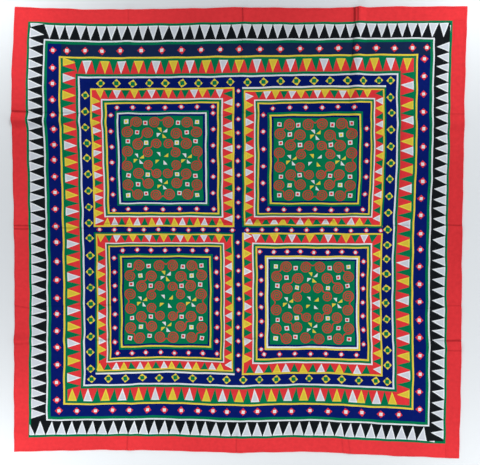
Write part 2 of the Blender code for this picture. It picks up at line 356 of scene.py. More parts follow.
class Patchwork:
    """Patches of cloth in pattern coordinates, gathered to be sewn into one mesh. inset is how far a
    point is inside its patch's edge, and tone a shade that is a little different on each patch."""

    def __init__(self):
        self.points = []
        self.faces = []
        self.count = 0

    def put(self, u, v, h, inset, tone, faces):
        u, v, h, inset, tone = np.broadcast_arrays(u, v, h, inset, tone)
        self.points.append(np.stack([a.ravel() for a in (u, v, h, inset, tone)], axis=1))
        self.faces.append(faces + self.count)
        self.count += u.size

    def grids(self, u, v, h, inset, tone, looped=False):
        """Patches as grids of the shape patches, rows, columns. A looped one closes on its first row."""
        patches, rows, columns = u.shape
        index = np.arange(rows * columns).reshape(rows, columns)
        if looped:
            index = np.concatenate([index, index[:1]])
        quads = np.stack([index[:-1, :-1], index[:-1, 1:], index[1:, 1:], index[1:, :-1]], -1).reshape(-1, 4)
        next_column = (np.diff(u, axis=2)[:, :-1], np.diff(v, axis=2)[:, :-1])
        next_row = (np.diff(u, axis=1)[:, :, :-1], np.diff(v, axis=1)[:, :, :-1])
        if (next_column[0] * next_row[1] - next_column[1] * next_row[0]).sum() < 0:
            quads = quads[:, ::-1]
        starts = np.arange(patches)[:, None, None] * rows * columns
        self.put(u, v, h, inset, tone, (quads + starts).reshape(-1, 4))

    def slab(self, across, up, over, under, tone):
        """A closed slab on the lines across and up, between the heights over and under."""
        rows, columns = len(up), len(across)
        u, v = np.meshgrid(across, up)
        index = np.arange(rows * columns).reshape(rows, columns)
        a, b, c, d = (i.ravel() for i in (index[:-1, :-1], index[:-1, 1:], index[1:, 1:], index[1:, :-1]))
        loop = np.concatenate([index[0, :-1], index[:-1, -1], index[-1, :0:-1], index[:0:-1, 0]])
        after = np.roll(loop, -1)
        top = rows * columns
        faces = [
            np.stack([a, d, c, b], 1),
            np.stack([a, b, c, d], 1) + top,
            np.stack([loop, after, after + top, loop + top], 1),
        ]
        heights = np.stack([under(u, v), over(u, v)])
        self.put(np.stack([u, u]), np.stack([v, v]), heights, INSET_SEEN, tone, np.concatenate(faces))

    def quads(self, corners, cells, low, high, tone):
        """Four-cornered patches: corners has the shape patches, corner, axis. Those that a sharp
        crease reaches get CREASED_CELLS times the cells."""
        tone = np.broadcast_to(tone, len(corners))
        boxes = crease_boxes()
        meets = corners.min(1)[:, None] < boxes[:, 1]
        meets &= corners.max(1)[:, None] > boxes[:, 0]
        creased = meets.all(2).any(1)
        for own, times in ((~creased, 1), (creased, CREASED_CELLS)):
            if own.any():
                self.even_quads(corners[own], [n * times for n in cells], low, high, tone[own])

    def even_quads(self, corners, cells, low, high, tone):
        """Four-cornered patches of the same cells. A point is the mean of the corners, each weighted
        by the shares s and t that reach it, and the rim is turned down."""
        one, two, three, four = (corners[:, i] for i in range(4))
        sides = [np.linalg.norm(b - a, axis=1) for a, b in ((one, two), (four, three), (one, four), (two, three))]
        s, t = (
            turned_lines(TURNED_EDGE / np.mean(sides[2 * i : 2 * i + 2]), cells[i]) for i in range(2)
        )
        t, s = np.meshgrid(t, s, indexing="ij")
        weights = np.stack([(1 - s) * (1 - t), s * (1 - t), s * t, (1 - s) * t])
        points = np.einsum("kij,pkc->pijc", weights, corners)
        width = (1 - t) * sides[0][:, None, None] + t * sides[1][:, None, None]
        height = (1 - s) * sides[2][:, None, None] + s * sides[3][:, None, None]
        inset = np.minimum(np.minimum(s, 1 - s) * width, np.minimum(t, 1 - t) * height)
        rim = (s == 0) | (s == 1) | (t == 0) | (t == 1)
        h = np.where(rim, low, high)
        self.grids(points[..., 0], points[..., 1], h, inset, np.reshape(tone, (-1, 1, 1)))

    def box(self, u_low, u_high, v_low, v_high, low, high, tone):
        """A four-sided strip along the axes, sampled finely over the folds."""
        turned_u = (u_low + TURNED_EDGE, u_high - TURNED_EDGE)
        turned_v = (v_low + TURNED_EDGE, v_high - TURNED_EDGE)
        u, v = np.meshgrid(
            grid_lines(u_low, u_high, 0, turned_u, (v_low, v_high)),
            grid_lines(v_low, v_high, 1, turned_v, (u_low, u_high)),
        )
        inset = np.minimum(np.minimum(u - u_low, u_high - u), np.minimum(v - v_low, v_high - v))
        self.grids(u[None], v[None], np.where(inset > MM, high, low)[None], inset[None], tone)

    def frame(self, rectangle, outer, inner, low, high, tone):
        """A closed four-sided frame. outer and inner are its edges' distances inside the rectangle,
        on its left, top, right and bottom. It is a flat profile with turned edges, carried round the
        rectangle and mitred at its corners."""
        width = np.mean(np.subtract(inner, outer))
        places = np.array([0, TURNED_EDGE, width / 2, width - TURNED_EDGE, width]) / width
        offsets = np.outer(1 - places, outer) + np.outer(places, inner)
        u_low, u_high, v_low, v_high = rectangle
        left, top, right, bottom = offsets.T
        left, right, bottom, top = u_low + left, u_high - right, v_low + bottom, v_high - top
        u_lines = grid_lines(left[-1], right[-1], 0, (), (v_low, v_high))[1:-1]
        v_lines = grid_lines(bottom[-1], top[-1], 1, (), (u_low, u_high))[1:-1]
        u, v = [], []
        for lines, start, level in ((u_lines, left, top), (u_lines[::-1], right, bottom)):
            turn = len(u) == 0
            u += [start[None], np.repeat(lines[:, None], len(places), 1)]
            v += [level[None], np.repeat(level[None], len(lines), 0)]
            far, side = (top, right) if turn else (bottom, left)
            up_lines = v_lines[::-1] if turn else v_lines
            u += [side[None], np.repeat(side[None], len(up_lines), 0)]
            v += [far[None], np.repeat(up_lines[:, None], len(places), 1)]
        u, v = np.concatenate(u), np.concatenate(v)
        h = np.where((places > 0) & (places < 1), high, low)
        inset = np.minimum(places, 1 - places) * width
        self.grids(u[None], v[None], np.broadcast_to(h, (1, *u.shape)), inset, tone, looped=True)

    def sew(self, name, material, slot):
        """Makes the gathered patches one object that rides on the quilt."""
        u, v, h, inset, tone = np.concatenate(self.points).T
        faces = np.concatenate(self.faces)
        mesh = bpy.data.meshes.new(name)
        mesh.from_pydata(raised(u, v, h), [], faces)
        pattern = mesh.uv_layers.new(name="pattern")
        pattern.data.foreach_set("uv", (np.stack([u, v], 1) * MM)[faces.ravel()].astype(np.float32).ravel())
        # pressed is how deep the sharp creases dent the cloth; the materials paint shade into the creases by it
        pressed = dents(u, v) / THICKNESS
        for label, values in (("inset", inset * MM), ("tone", tone), ("pressed", pressed)):
            attribute = mesh.attributes.new(label, "FLOAT", "POINT")
            attribute.data.foreach_set("value", values.astype(np.float32))
        mesh.polygons.foreach_set("use_smooth", np.ones(len(faces), bool))
        mesh.materials.append(material)
        mesh.update()
        piece = bpy.data.objects.new(name, mesh)
        bpy.context.scene.collection.objects.link(piece)
        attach(piece, BODY)
        return piece


def turned_lines(edge, cells):
    """Shares from 0 to 1 with a narrow step of edge at each end and the given cells between."""
    return np.concatenate([[0], np.linspace(edge, 1 - edge, cells + 1), [1]])


class Value:
    """A node's output in an expression. Each operator adds one Math node to the same graph."""

    def __init__(self, graph, socket):
        self.graph = graph
        self.socket = socket

    def maths(self, operation, *values):
        return self.graph.add("ShaderNodeMath", {"operation": operation}, dict(enumerate(values)))

    def __add__(self, other):
        return self.maths("ADD", self, other)

    def __sub__(self, other):
        return self.maths("SUBTRACT", self, other)

    def __rsub__(self, other):
        return self.maths("SUBTRACT", other, self)

    def __mul__(self, other):
        return self.maths("MULTIPLY", self, other)

    def __abs__(self):
        return self.maths("ABSOLUTE", self)

    __radd__ = __add__
    __rmul__ = __mul__

    def sine(self):
        return self.maths("SINE", self)

    def clamped(self):
        return self.maths("MINIMUM", self.maths("MAXIMUM", self, 0.0), 1.0)


class Graph:
    """A material's node tree."""

    def __init__(self, tree):
        self.tree = tree

    def add(self, kind, settings, inputs, output=0):
        """Adds a node: its settings are set first, then its inputs, by name or number, get their values
        or links."""
        node = self.tree.nodes.new(kind)
        for key, value in settings.items():
            setattr(node, key, value)
        self.fill(node, inputs)
        return Value(self, node.outputs[output])

    def fill(self, node, inputs):
        for key, value in inputs.items():
            if isinstance(value, Value):
                self.tree.links.new(value.socket, node.inputs[key])
            else:
                node.inputs[key].default_value = value

    def blend(self, share, one, two):
        """A colour between two, by the share of the second."""
        colours = {"Factor": share, "A": one, "B": two}
        keys = {"Factor": 0, "A": 6, "B": 7}
        settings = {"data_type": "RGBA"}
        return self.add("ShaderNodeMix", settings, {keys[k]: value for k, value in colours.items()}, 2)


class QuiltColours(bpy.types.PropertyGroup):
    """The dyes of the cloths, and a copy of the red darkened with painted shade for the spiral discs."""

    red: FloatVectorProperty(
        name="Red", description="Dye of the red cotton", subtype="COLOR", size=3, default=(0.78, 0.040, 0.047)
    )
    # The red cotton made darker for the spiral discs: painted shade of their narrow raised lines
    disc_red: FloatVectorProperty(
        name="Disc red", description="The deeper red of the spiral discs", subtype="COLOR", size=3,
        default=(0.68, 0.022, 0.034),
    )
    green: FloatVectorProperty(
        name="Green", description="Dye of the green cotton", subtype="COLOR", size=3, default=(0.0, 0.182, 0.072)
    )
    white: FloatVectorProperty(
        name="White", description="Bleached cotton", subtype="COLOR", size=3, default=(0.80, 0.84, 0.90)
    )
    black: FloatVectorProperty(
        name="Black", description="Dye of the black cotton", subtype="COLOR", size=3, default=(0.007, 0.009, 0.011)
    )
    navy: FloatVectorProperty(
        name="Navy", description="Dye of the navy cotton", subtype="COLOR", size=3, default=(0.001, 0.009, 0.135)
    )
    faded_navy: FloatVectorProperty(
        name="Faded navy", description="The washed-out navy band", subtype="COLOR", size=3,
        default=(0.008, 0.022, 0.075),
    )
    yellow: FloatVectorProperty(
        name="Yellow", description="Dye of the yellow cotton", subtype="COLOR", size=3, default=(0.83, 0.67, 0.06)
    )


class QuiltSizes(bpy.types.PropertyGroup):
    """The sizes of the sewing, in metres."""

    applique: FloatProperty(
        name="Applique", description="Height of an applique patch on its ground", unit="LENGTH", default=0.0004
    )
    edging: FloatProperty(
        name="Edging", description="Height of a narrow edging on its ground", unit="LENGTH", default=0.00035
    )
    seam: FloatProperty(
        name="Seam", description="How deep a seam between two cloths sinks", unit="LENGTH", default=0.0005
    )
    hem: FloatProperty(
        name="Hem", description="Width of the turned hem at the outer edge", unit="LENGTH", default=0.009
    )
    hem_height: FloatProperty(
        name="Hem height", description="How much the hem stands above its cloth", unit="LENGTH", default=0.0005
    )
    thread: FloatProperty(
        name="Thread pitch", description="Distance between the threads of the weave", unit="LENGTH", default=0.0006
    )
    rows: FloatProperty(
        name="Quilting pitch", description="Distance between rows of quilting", unit="LENGTH", default=0.0072
    )
    camera_height: FloatProperty(
        name="Camera height", description="Height of the camera over the quilt", unit="LENGTH", default=3.4
    )


# Painted shade in the sharp creases: how much darker the cloth's colour is made there, as a share at the full
# thickness
CREASE_PAINTED_SHADE = 0.62


def cotton(name, colour, show_through=(1.0, 1.0, 1.0), rows=1.0):
    """Woven dyed cotton. The threads are products of two sines of the pattern's own coordinates, the
    quilting rows a sine of the distance from the middle of the quilt, and noise fades the dye. Shade is
    painted into the sharp creases: the colour is darker where they press in."""
    sizes = bpy.context.scene.quilt_sizes
    material = bpy.data.materials.new(name)
    material.use_nodes = True
    graph = Graph(material.node_tree)
    shader = material.node_tree.nodes["Principled BSDF"]
    pattern = graph.add("ShaderNodeUVMap", {"uv_map": "pattern"}, {})
    x = graph.add("ShaderNodeSeparateXYZ", {}, {0: pattern}, 0)
    y = graph.add("ShaderNodeSeparateXYZ", {}, {0: pattern}, 1)
    tone = graph.add("ShaderNodeAttribute", {"attribute_name": "tone"}, {}, 2)
    inset = graph.add("ShaderNodeAttribute", {"attribute_name": "inset"}, {}, 2)
    fading = graph.add("ShaderNodeTexNoise", {}, {"Vector": pattern, "Scale": 2.3, "Detail": 4.0})
    mottling = graph.add("ShaderNodeTexNoise", {}, {"Vector": pattern, "Scale": 55.0, "Detail": 5.0})
    slub = graph.add("ShaderNodeTexNoise", {}, {"Vector": pattern, "Scale": 420.0, "Detail": 2.0})
    turn = 2 * math.pi
    warp = (x * (turn / sizes.thread)).sine()
    weft = (y * (turn / sizes.thread)).sine()
    weave = warp * weft * 0.5 + 0.5
    spread = x.maths("MAXIMUM", abs(x), abs(y))
    quilting = (spread * (turn / sizes.rows)).sine() * 0.5 + 0.5
    share = (fading - 0.5) * 1.1 + (mottling - 0.5) * 0.7 + (slub - 0.5) * 0.35 + tone + 0.5
    dark = [c * 0.80 for c in colour]
    light = [min(c * 1.16 + 0.004, 1.0) for c in colour]
    dyed = graph.blend(share.clamped(), (*dark, 1.0), (*light, 1.0))
    single = ((inset - 0.0045) * 400.0).clamped()
    through = [c * s for c, s in zip(colour, show_through)]
    dyed = graph.blend(single * 0.85, dyed, (*through, 1.0)) if show_through != (1.0, 1.0, 1.0) else dyed
    woven = graph.blend(weave * 0.10, dyed, (*[c * 0.45 for c in colour], 1.0))
    # Painted shade: the colour is darkened in the sharp creases, by as much as they press in
    pressed = graph.add("ShaderNodeAttribute", {"attribute_name": "pressed"}, {}, 2)
    shaded_in_creases = graph.blend(pressed * CREASE_PAINTED_SHADE, woven, (*[c * 0.2 for c in colour], 1.0))
    height = weave * 0.10 + quilting * (0.55 * rows) + mottling * 0.8 - single * 0.5
    relief = graph.add("ShaderNodeBump", {}, {"Strength": 1.0, "Distance": 0.00025, "Height": height})
    graph.fill(shader, {
        "Base Color": shaded_in_creases,
        "Roughness": 0.82 + (slub - 0.5) * 0.15,
        "Normal": relief,
        "Specular IOR Level": 0.0,
    })
    return material


CLOTHS = {
    # name: property, show-through of the ground below a single layer
    # the spiral discs: the red cotton, darkened with painted shade
    "disc_red": ("disc_red", (1.0, 1.0, 1.0)),
    "red_cotton": ("red", (1.0, 1.0, 1.0)),
    "green_cotton": ("green", (1.0, 1.0, 1.0)),
    "white_cotton": ("white", (0.72, 0.73, 0.75)),
    "black_cotton": ("black", (1.0, 1.0, 1.0)),
    "navy_cotton": ("navy", (1.0, 1.0, 1.0)),
    "faded_navy_cotton": ("faded_navy", (1.0, 1.0, 1.0)),
    "yellow_cotton": ("yellow", (0.82, 0.76, 0.8)),
}


def cloth(slot):
    """The material of a record slot, made the first time that it is asked for."""
    found = bpy.data.materials.get(f"dyed_{slot}")
    if found is None:
        prop, through = CLOTHS[slot]
        found = cotton(f"dyed_{slot}", tuple(getattr(bpy.context.scene.quilt_colours, prop)), through)
    return found


def framed(outer, widths):
    """The strips that frame a rectangle, laid in turn so that each butts the next, and the rectangle
    left inside them. A rectangle is (u low, u high, v low, v high), and the widths are those of the
    left, top, right and bottom strips."""
    u_low, u_high, v_low, v_high = outer
    left, top, right, bottom = widths
    inner = (u_low + left, u_high - right, v_low + bottom, v_high - top)
    strips = {
        "left": (u_low, inner[0], inner[2], v_high),
        "top": (inner[0], u_high, inner[3], v_high),
        "right": (inner[1], u_high, v_low, inner[3]),
        "bottom": (u_low, inner[1], v_low, inner[2]),
    }
    return strips, inner


SQUARE = (-HALF_SIDE, HALF_SIDE, -HALF_SIDE, HALF_SIDE)


def ring_strips(ring):
    """The strips of one ring round the quilt, and the rectangle inside it."""
    inner = SQUARE
    for name, width in RINGS.items():
        strips, inner = framed(inner, [width] * 4)
        if name == ring:
            return strips, inner


INNER_HALF = ring_strips("inner_band")[1][1]


def block_rectangle(block):
    """The outer rectangle of a block in the pattern."""
    way_across, way_up = BLOCKS[block]["lies"]
    across = sorted((way_across * HALF_UPRIGHT, way_across * INNER_HALF))
    return (*across, *sorted((way_up * HALF_ARM, way_up * INNER_HALF)))


def block_field(block):
    """The rectangle of a block's field."""
    inner = framed(block_rectangle(block), BLOCKS[block]["teeth"])[1]
    return framed(inner, BLOCKS[block]["diamonds"])[1]


def ground(name, boxes, nodes, slot, seed, step=WIDE_STEP):
    """The ground cloths of one part of the quilt as closed slabs, sewn into one piece and returned with the sizes of
    a flat sheet that holds them and their area.
    Each follows the lay of the cloth, sinks a little at its seams and is rounded at the outer edge,
    where the strips are gathered a little."""
    sizes = bpy.context.scene.quilt_sizes
    seam, hem, hem_height = sizes.seam / MM, sizes.hem / MM, sizes.hem_height / MM
    tones = np.random.default_rng(seed).uniform(-0.12, 0.12, len(boxes))
    cloths = Patchwork()
    for (u_low, u_high, v_low, v_high), tone in zip(boxes, tones):
        edges = {"left": u_low, "right": u_high, "bottom": v_low, "top": v_high}
        outside = [side for side, place in edges.items() if abs(place) == HALF_SIDE]

        def far(u, v, side):
            return {"left": u - u_low, "right": u_high - u, "bottom": v - v_low, "top": v_high - v}[side]

        def over(u, v):
            h = np.full_like(u, THICKNESS)
            for side in SIDES:
                d = far(u, v, side)
                h -= np.interp(d, ROUNDING_PLACES, ROUNDING_SHARES) * (1.1 if side in outside else seam)
            if outside:
                d = HALF_SIDE - np.maximum(abs(u), abs(v))
                h += hem_height * np.interp(d, (hem, hem + 1.2), (1, 0))
                h -= 0.3 * np.exp(-(((d - 0.75 * hem) / 0.9) ** 2))
                along = np.where(abs(u) > abs(v), v, u)
                middle = np.sin(np.pi * np.clip((d - hem) / (RINGS["border"] - hem), 0, 1))
                for length, start, size in GATHERS:
                    h += size * middle * np.sin(2 * np.pi * (along / length + d / 170 + start))
            return h

        def under(u, v):
            h = np.zeros_like(u)
            for side in outside:
                h = np.maximum(h, 0.8 * np.interp(far(u, v, side), ROUNDING_PLACES, ROUNDING_SHARES))
            return h

        inner = ROUNDING_PLACES[1:]
        hem_lines = [HALF_SIDE - d for d in (0.65 * hem, 0.75 * hem, 0.85 * hem, hem, hem + 1.2)]
        hem_lines = [sign * line for line in hem_lines for sign in (-1, 1)]
        lines = []
        spans = ((u_low, u_high), (v_low, v_high))
        for axis, (low, high) in enumerate(spans):
            extra = [low + d for d in inner] + [high - d for d in inner]
            extra += [line for line in hem_lines if outside and low < line < high]
            lines.append(grid_lines(low, high, axis, extra, spans[1 - axis], step))
        cloths.slab(*lines, over, under, tone)
    piece = cloths.sew(name, cloth(slot), slot)
    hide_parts(*nodes)
    spans = [sorted((box[1] - box[0], box[3] - box[2])) for box in boxes]
    return piece, (max(s[0] for s in spans) * MM, sum(s[1] for s in spans) * MM), sum(a * b for a, b in spans)


def declare(made):
    """Unpacks a made ground cloth and works out its area in square metres, which is not kept."""
    piece, flat, area = made
    area * MM * MM


def pattern_places(measured, side, level):
    """The pattern's u or v, along a side, of what lies at the measured places, on the pattern line
    level. Found by stepping back over and over by what the lay adds."""
    axis = SIDES[side][0]
    laid = np.asarray(measured, float) + MEASURED_FROM[axis]
    places = laid.copy()
    for step in range(8):
        across = np.full_like(places, level)
        u, v = (places, across) if axis == 0 else (across, places)
        places = places + laid - lay(u, v)[:, axis]
    return places


def spread_out(count, stations):
    """The laid places of a row of motifs: evenly spaced between the stations, each of which is where
    an equal share of the row lies."""
    shares = np.linspace(0, 1, len(stations))
    return np.interp(np.linspace(0, 1, count), shares, stations)


def side_level(side, rectangle, offset):
    """The pattern line at the offset inside a side of a rectangle."""
    edge = rectangle[("left", "right", "bottom", "top").index(side)]
    return edge + SIDES[side][1] * offset


def on_side(side, rectangle, along, offset):
    """Pattern points at the places along a side and the offsets inside it."""
    along, offset = np.broadcast_arrays(np.asarray(along, float), np.asarray(offset, float))
    level = side_level(side, rectangle, offset)
    return np.stack([along, level] if SIDES[side][0] == 0 else [level, along], -1)


def teeth(work, side, rectangle, bases, apexes, offsets, cells, levels, tone, shown=1.0):
    """A row of triangular teeth: bases is an array of the two ends of each base, apexes the place of
    each point, and offsets those of the bases and points. A tooth is a grid that narrows from its base
    to a blunt tip, or is cut off where only a share of it is shown."""
    tip = np.maximum((1 - shown) * (bases[:, 1] - bases[:, 0]) / 2, 0.6)
    apexes = bases.mean(1) + shown * (apexes - bases.mean(1))
    end = offsets[0] + shown * (offsets[1] - offsets[0])
    corners = np.stack(
        [
            on_side(side, rectangle, bases[:, 0], offsets[0]),
            on_side(side, rectangle, bases[:, 1], offsets[0]),
            on_side(side, rectangle, apexes + tip, end),
            on_side(side, rectangle, apexes - tip, end),
        ],
        axis=1,
    )
    work.quads(corners, cells, *levels, tone)


def diamonds(work, centres, reach, cells, low, high, rng, turned=0.0):
    """Square patches that stand on a point, or on a side where turned is an eighth of a turn, with
    their corners reach from the centre, each a little uneven."""
    count = len(centres)
    angles = 2 * np.pi * (np.arange(4) / 4 + turned) + rng.normal(0, 0.07, (count, 1))
    reaches = reach * (1 + rng.normal(0, 0.05, (count, 4)))
    corners = centres[:, None] + reaches[..., None] * np.stack([np.cos(angles), np.sin(angles)], -1)
    work.quads(corners, cells, low, high, rng.uniform(-0.15, 0.15, count))


def heights():
    """The levels of the layers: ground, rim of the first layer, its top, rim of the second, its top."""
    first = THICKNESS + bpy.context.scene.quilt_sizes.applique / MM
    second = first + bpy.context.scene.quilt_sizes.applique / MM
    return THICKNESS - RIM_DEPTH, first, first - RIM_DEPTH, second


# The narrow edgings that go round the quilt: colour, their two edges inside the outer edge
EDGINGS = (
    ("green", 67.5, 78.5),
    ("white", 146.5, 154.0),
    ("green", 154.0, 167.0),
    ("yellow", 223.0, 231.5),
    ("white", 314.5, 322.5),
)

# The white saw teeth: side, number, laid places of the first and last border between them, where their
# points are, and how far the points lean along the side at the first and the last
SAW_TEETH = (
    ("top", 39, -908, 982, 144, 0, -2),
    ("left", 38, 954, -873, 146, -6, 0),
    ("bottom", 38, -951, 877, 144, 2, 3),
    ("right", 39, 888, -972, 137, 3, 9),
)
SAW_BASE = 78.5

# The loose wedges of white at the corners of the saw band: three corners each, laid places
SAW_WEDGES = (
    ((-977, 975), (-908, 970), (-972, 955)),
    ((-978, -893), (-978, -948), (-953, -948)),
    ((984, 965), (988, 965), (988, 930)),
    ((885, -975), (912, -982), (912, -974)),
)

# The outer band's diamonds: side, number, laid places of the first, of some evenly shared out, the last
OUTER_DIAMONDS = (
    ("top", 19, (-806, -551, -270, 2, 286, 550, 810)),
    ("left", 22, (843, 616, 410, 184, -50, -308, -539, -784)),
    ("right", 21, (807, 480, 155, -163, -493, -828)),
    ("bottom", 21, (-844, -670, -513, -348, -192, -52, 89, 246, 418, 577, 746)),
    ("top", 1, (875,)),
)
OUTER_DIAMOND_LINE = 194.5

# The triangle band's white and yellow teeth: side, colours, laid places as above, whether a green tooth
# goes before the first and after the last
TRIANGLES = (
    ("top", "WY" * 10, (-710, -326, 42, 417, 786), True, False),
    ("left", "YW" * 10, (795, 424, 58, -306, -679), False, True),
    ("bottom", "YW" * 9, (-780, -450, -115, 209, 529), False, False),
    ("bottom", "YWY", (569, 641, 716), False, False),
    ("right", "WYWY", (686, 590, 515, 424), True, False),
    ("right", "WY" * 7, (376, 96, -186, -476, -759), False, False),
)
TRIANGLE_BASE = 242.5
TRIANGLE_TIP = 303.0

# The inner band's yellow diamonds, as the outer ones
INNER_DIAMONDS = (
    ("top", 18, (-647, -324, -1, 330, 655)),
    ("left", 18, (636, 322, 4, -315, -638)),
    ("bottom", 18, (-688, -355, -18, 309, 634)),
    ("right", 18, (628, 301, -25, -315, -623)),
    ("top", 1, (704,)),
    ("bottom", 1, (693,)),
)
INNER_DIAMOND_LINE = 347.0

# The sash's diamonds: axis that they follow, number, laid places of the first and the last
SASH_DIAMONDS = (
    ("up", 10, 658, 70),
    ("up", 10, -49, -643),
    ("across", 10, -650, -30),
    ("across", 10, 37, 661),
)

# The edgings and rows of each block, from its outer edge inwards: what it is, width, colour
BLOCK_LAYERS = {
    "nw": (("edging", 8, "yellow"), ("teeth", 41.5, ""), ("edging", 7, "white"), ("edging", 10, "green"),
           ("edging", 8, "yellow"), ("diamonds", 35.5, ""), ("edging", 8.5, "green"), ("edging", 7.5, "white"),
           ("edging", 9.5, "navy")),
    "ne": (("edging", 8.5, "green"), ("edging", 6.5, "yellow"), ("teeth", 39.5, ""), ("edging", 6.5, "white"),
           ("edging", 9, "green"), ("edging", 6.5, "yellow"), ("diamonds", 35, ""), ("edging", 9, "green"),
           ("edging", 8, "yellow"), ("edging", 8, "navy")),
    "sw": (("edging", 8.5, "green"), ("edging", 6.5, "yellow"), ("teeth", 39.5, ""), ("edging", 6.5, "white"),
           ("edging", 9, "green"), ("edging", 6.5, "yellow"), ("diamonds", 35, ""), ("edging", 9, "green"),
           ("edging", 8, "yellow"), ("edging", 8, "navy")),
    "se": (("edging", 8, "yellow"), ("teeth", 41.5, ""), ("edging", 7, "white"), ("edging", 10, "green"),
           ("edging", 8, "yellow"), ("diamonds", 35.5, ""), ("edging", 8.5, "yellow"), ("edging", 8, "white"),
           ("edging", 8, "navy")),
}

# The strips that frame each block, from its outer edge inwards: cloth
BLOCK_STRIPS = {"teeth": "red_cotton", "diamonds": "navy_cotton"}

# The side of a block that has one more white strip outside its edgings, and its width
EXTRA_STRIPS = {"ne": ("top", 8.0), "sw": ("bottom", 8.0)}

# The teeth and ring diamonds of each block: block, side, colours of the teeth, laid places of the first
# and last tooth, number of diamonds, laid places of the first and the last
BLOCK_ROWS = (
    ("nw", "top", "YGWGYGWGYGGWYGW", -649, -91, 7, -570, -122),
    ("nw", "left", "YWGYWGYWGYWGYWGYW", 613, 53, 7, 543, 102),
    ("nw", "right", "GWYGWYGWYGWYGWYGW", 643, 60, 7, 555, 107),
    ("nw", "bottom", "YWGYWGYWGYWGYWGY", -616, -89, 5, -518, -196),
    ("ne", "top", "GWYGWYGWYGWYGY", 93, 599, 6, 158, 539),
    ("ne", "left", "WYGWYGWYGWYGWYG", 630, 79, 6, 546, 149),
    ("ne", "right", "GWYGWYGWYGWYGWYGW", 648, 65, 5, 483, 177),
    ("ne", "bottom", "WYGWYGWYGWYGWYG", 46, 599, 7, 135, 577),
    ("sw", "top", "YGWGYGWGYGWYGWGYG", -644, -56, 7, -542, -150),
    ("sw", "left", "YGWYGWYGWYGWYG", -84, -584, 7, -122, -514),
    ("sw", "right", "GYWGYWGYWGYWGYW", -84, -621, 7, -122, -509),
    ("sw", "bottom", "YGWYGWYGWYGWYGWY", -649, -89, 8, -567, -103),
    ("se", "top", "WGYGWGYGWGYGWG", 79, 627, 8, 98, 541),
    ("se", "left", "WGYGWGYGWGYGWGY", -19, -593, 7, -161, -546),
    ("se", "right", "GYGWGYGWGYGWGYGW", -66, -644, 7, -136, -523),
    ("se", "bottom", "GWGYWGYGWGYGWG", 51, 592, 7, 116, 549),
)

# The row whose first teeth are tucked under a crease: block, side, what share of each shows
TUCKED_TEETH = ("ne", "bottom", (0.8, 0.75, 0.7, 0.65, 0.7, 0.8, 1.0, 0.85, 0.75, 0.75, 0.9))

# The spiral discs of a field, in pairs that one line joins: radius, and the two centres of one pair in
# the first eighth, which is turned and mirrored to the others
DISC_PAIRS = (
    (26.8, (121, 165), (165, 121), "corner"),
    (26.8, (-31, 165), (31, 165), "side"),
    (26.8, (69, 114), (114, 69), "corner"),
    (23.8, (29, 67), (67, 29), "corner"),
)
SPIRAL_PITCH = 9.3
SPIRAL_WIDTH = 4.8
SPIRAL_RIM = 0.35
SPIRAL_EYE = 2.0
SPIRAL_STEPS = 18

# How far round each disc, in radians, its line leaves it from the way to the other disc of the pair
SPIRAL_EXIT = 0.65

# Half the side of the field that the layout is drawn for. It is stretched to each field's own sides
FIELD_HALF = 196.0

# How far the turned corners of the squares and of their centres are from the middle of each
SQUARE_REACH = 14.2
SQUARE_CENTRE_REACH = 8.4

# The white squares of a field: place in the first eighth
FIELD_SQUARES = ((168, 168), (79, 162), (119, 119), (72, 72))

# Which squares have a yellow centre, by block: the ways of those at the corners, the middle diagonal
# and the inner diagonal. The rest have a red one
EVERY_WAY = ((-1, 1), (1, 1), (-1, -1), (1, -1))
YELLOW_CENTRES = {
    "nw": {168: EVERY_WAY[:1] + EVERY_WAY[1:], 119: (), 72: EVERY_WAY},
    "ne": {168: (), 119: ((1, 1), (-1, -1), (1, -1)), 72: ()},
    "sw": {168: (), 119: EVERY_WAY, 72: ()},
    "se": {168: EVERY_WAY[:3], 119: (), 72: EVERY_WAY},
}

# The pinwheels of a field: name, centre, how far the blades stand apart. A blade is three corners, up
# and to the left of the centre, and the rest are it turned
PINWHEELS = (
    ("top", (0, 118), 0),
    ("bottom", (0, -118), 0),
    ("left", (-112, 0), 0),
    ("right", (117, 0), 0),
    ("middle", (0, 0), 6),
)
BLADE = ((-21, 24), (-2, 24), (-2, 3))

# The pinwheels whose upper left blade is yellow, by block
YELLOW_BLADES = {"nw": ("top",), "ne": ("middle",), "sw": ("top",), "se": ("top", "bottom")}

COLOUR_SLOTS = {"W": "white", "Y": "yellow", "G": "green"}


class QUILT_OT_border(bpy.types.Operator):
    """Makes the plain red border with its hem and the hem's stitches"""

    bl_idname = "quilt.border"
    bl_label = "Red border"

    def execute(self, context):
        sizes = context.scene.quilt_sizes
        boxes = ring_strips("border")[0]
        nodes = [f"border_{s}" for s in boxes]
        made = ground("border_cloth", list(boxes.values()), nodes, "red_cotton", 1, GATHER_STEP)
        thread = Patchwork()
        rng = np.random.default_rng(2)
        line = 0.75 * sizes.hem / MM
        pitch, long, wide = 6.5, 3.8, 1.1
        for side in SIDES:
            along = np.arange(-HALF_SIDE + 12, HALF_SIDE - 12, pitch)
            along = along + rng.normal(0, 0.3, len(along))
            across = line + rng.normal(0, 0.35, len(along))
            ends = [
                on_side(side, SQUARE, along + a * long, across + b * wide)
                for a, b in ((0, -0.5), (1, -0.5), (1, 0.5), (0, 0.5))
            ]
            top = THICKNESS + sizes.hem_height / MM
            work_tone = rng.uniform(-0.2, 0.2, len(along))
            thread.quads(np.stack(ends, 1), (1, 1), top - 0.35, top + 0.12, work_tone)
        stitches = thread.sew("hem_stitches", cloth("red_cotton"), "red_cotton")
        declare(made)
        return {"FINISHED"}


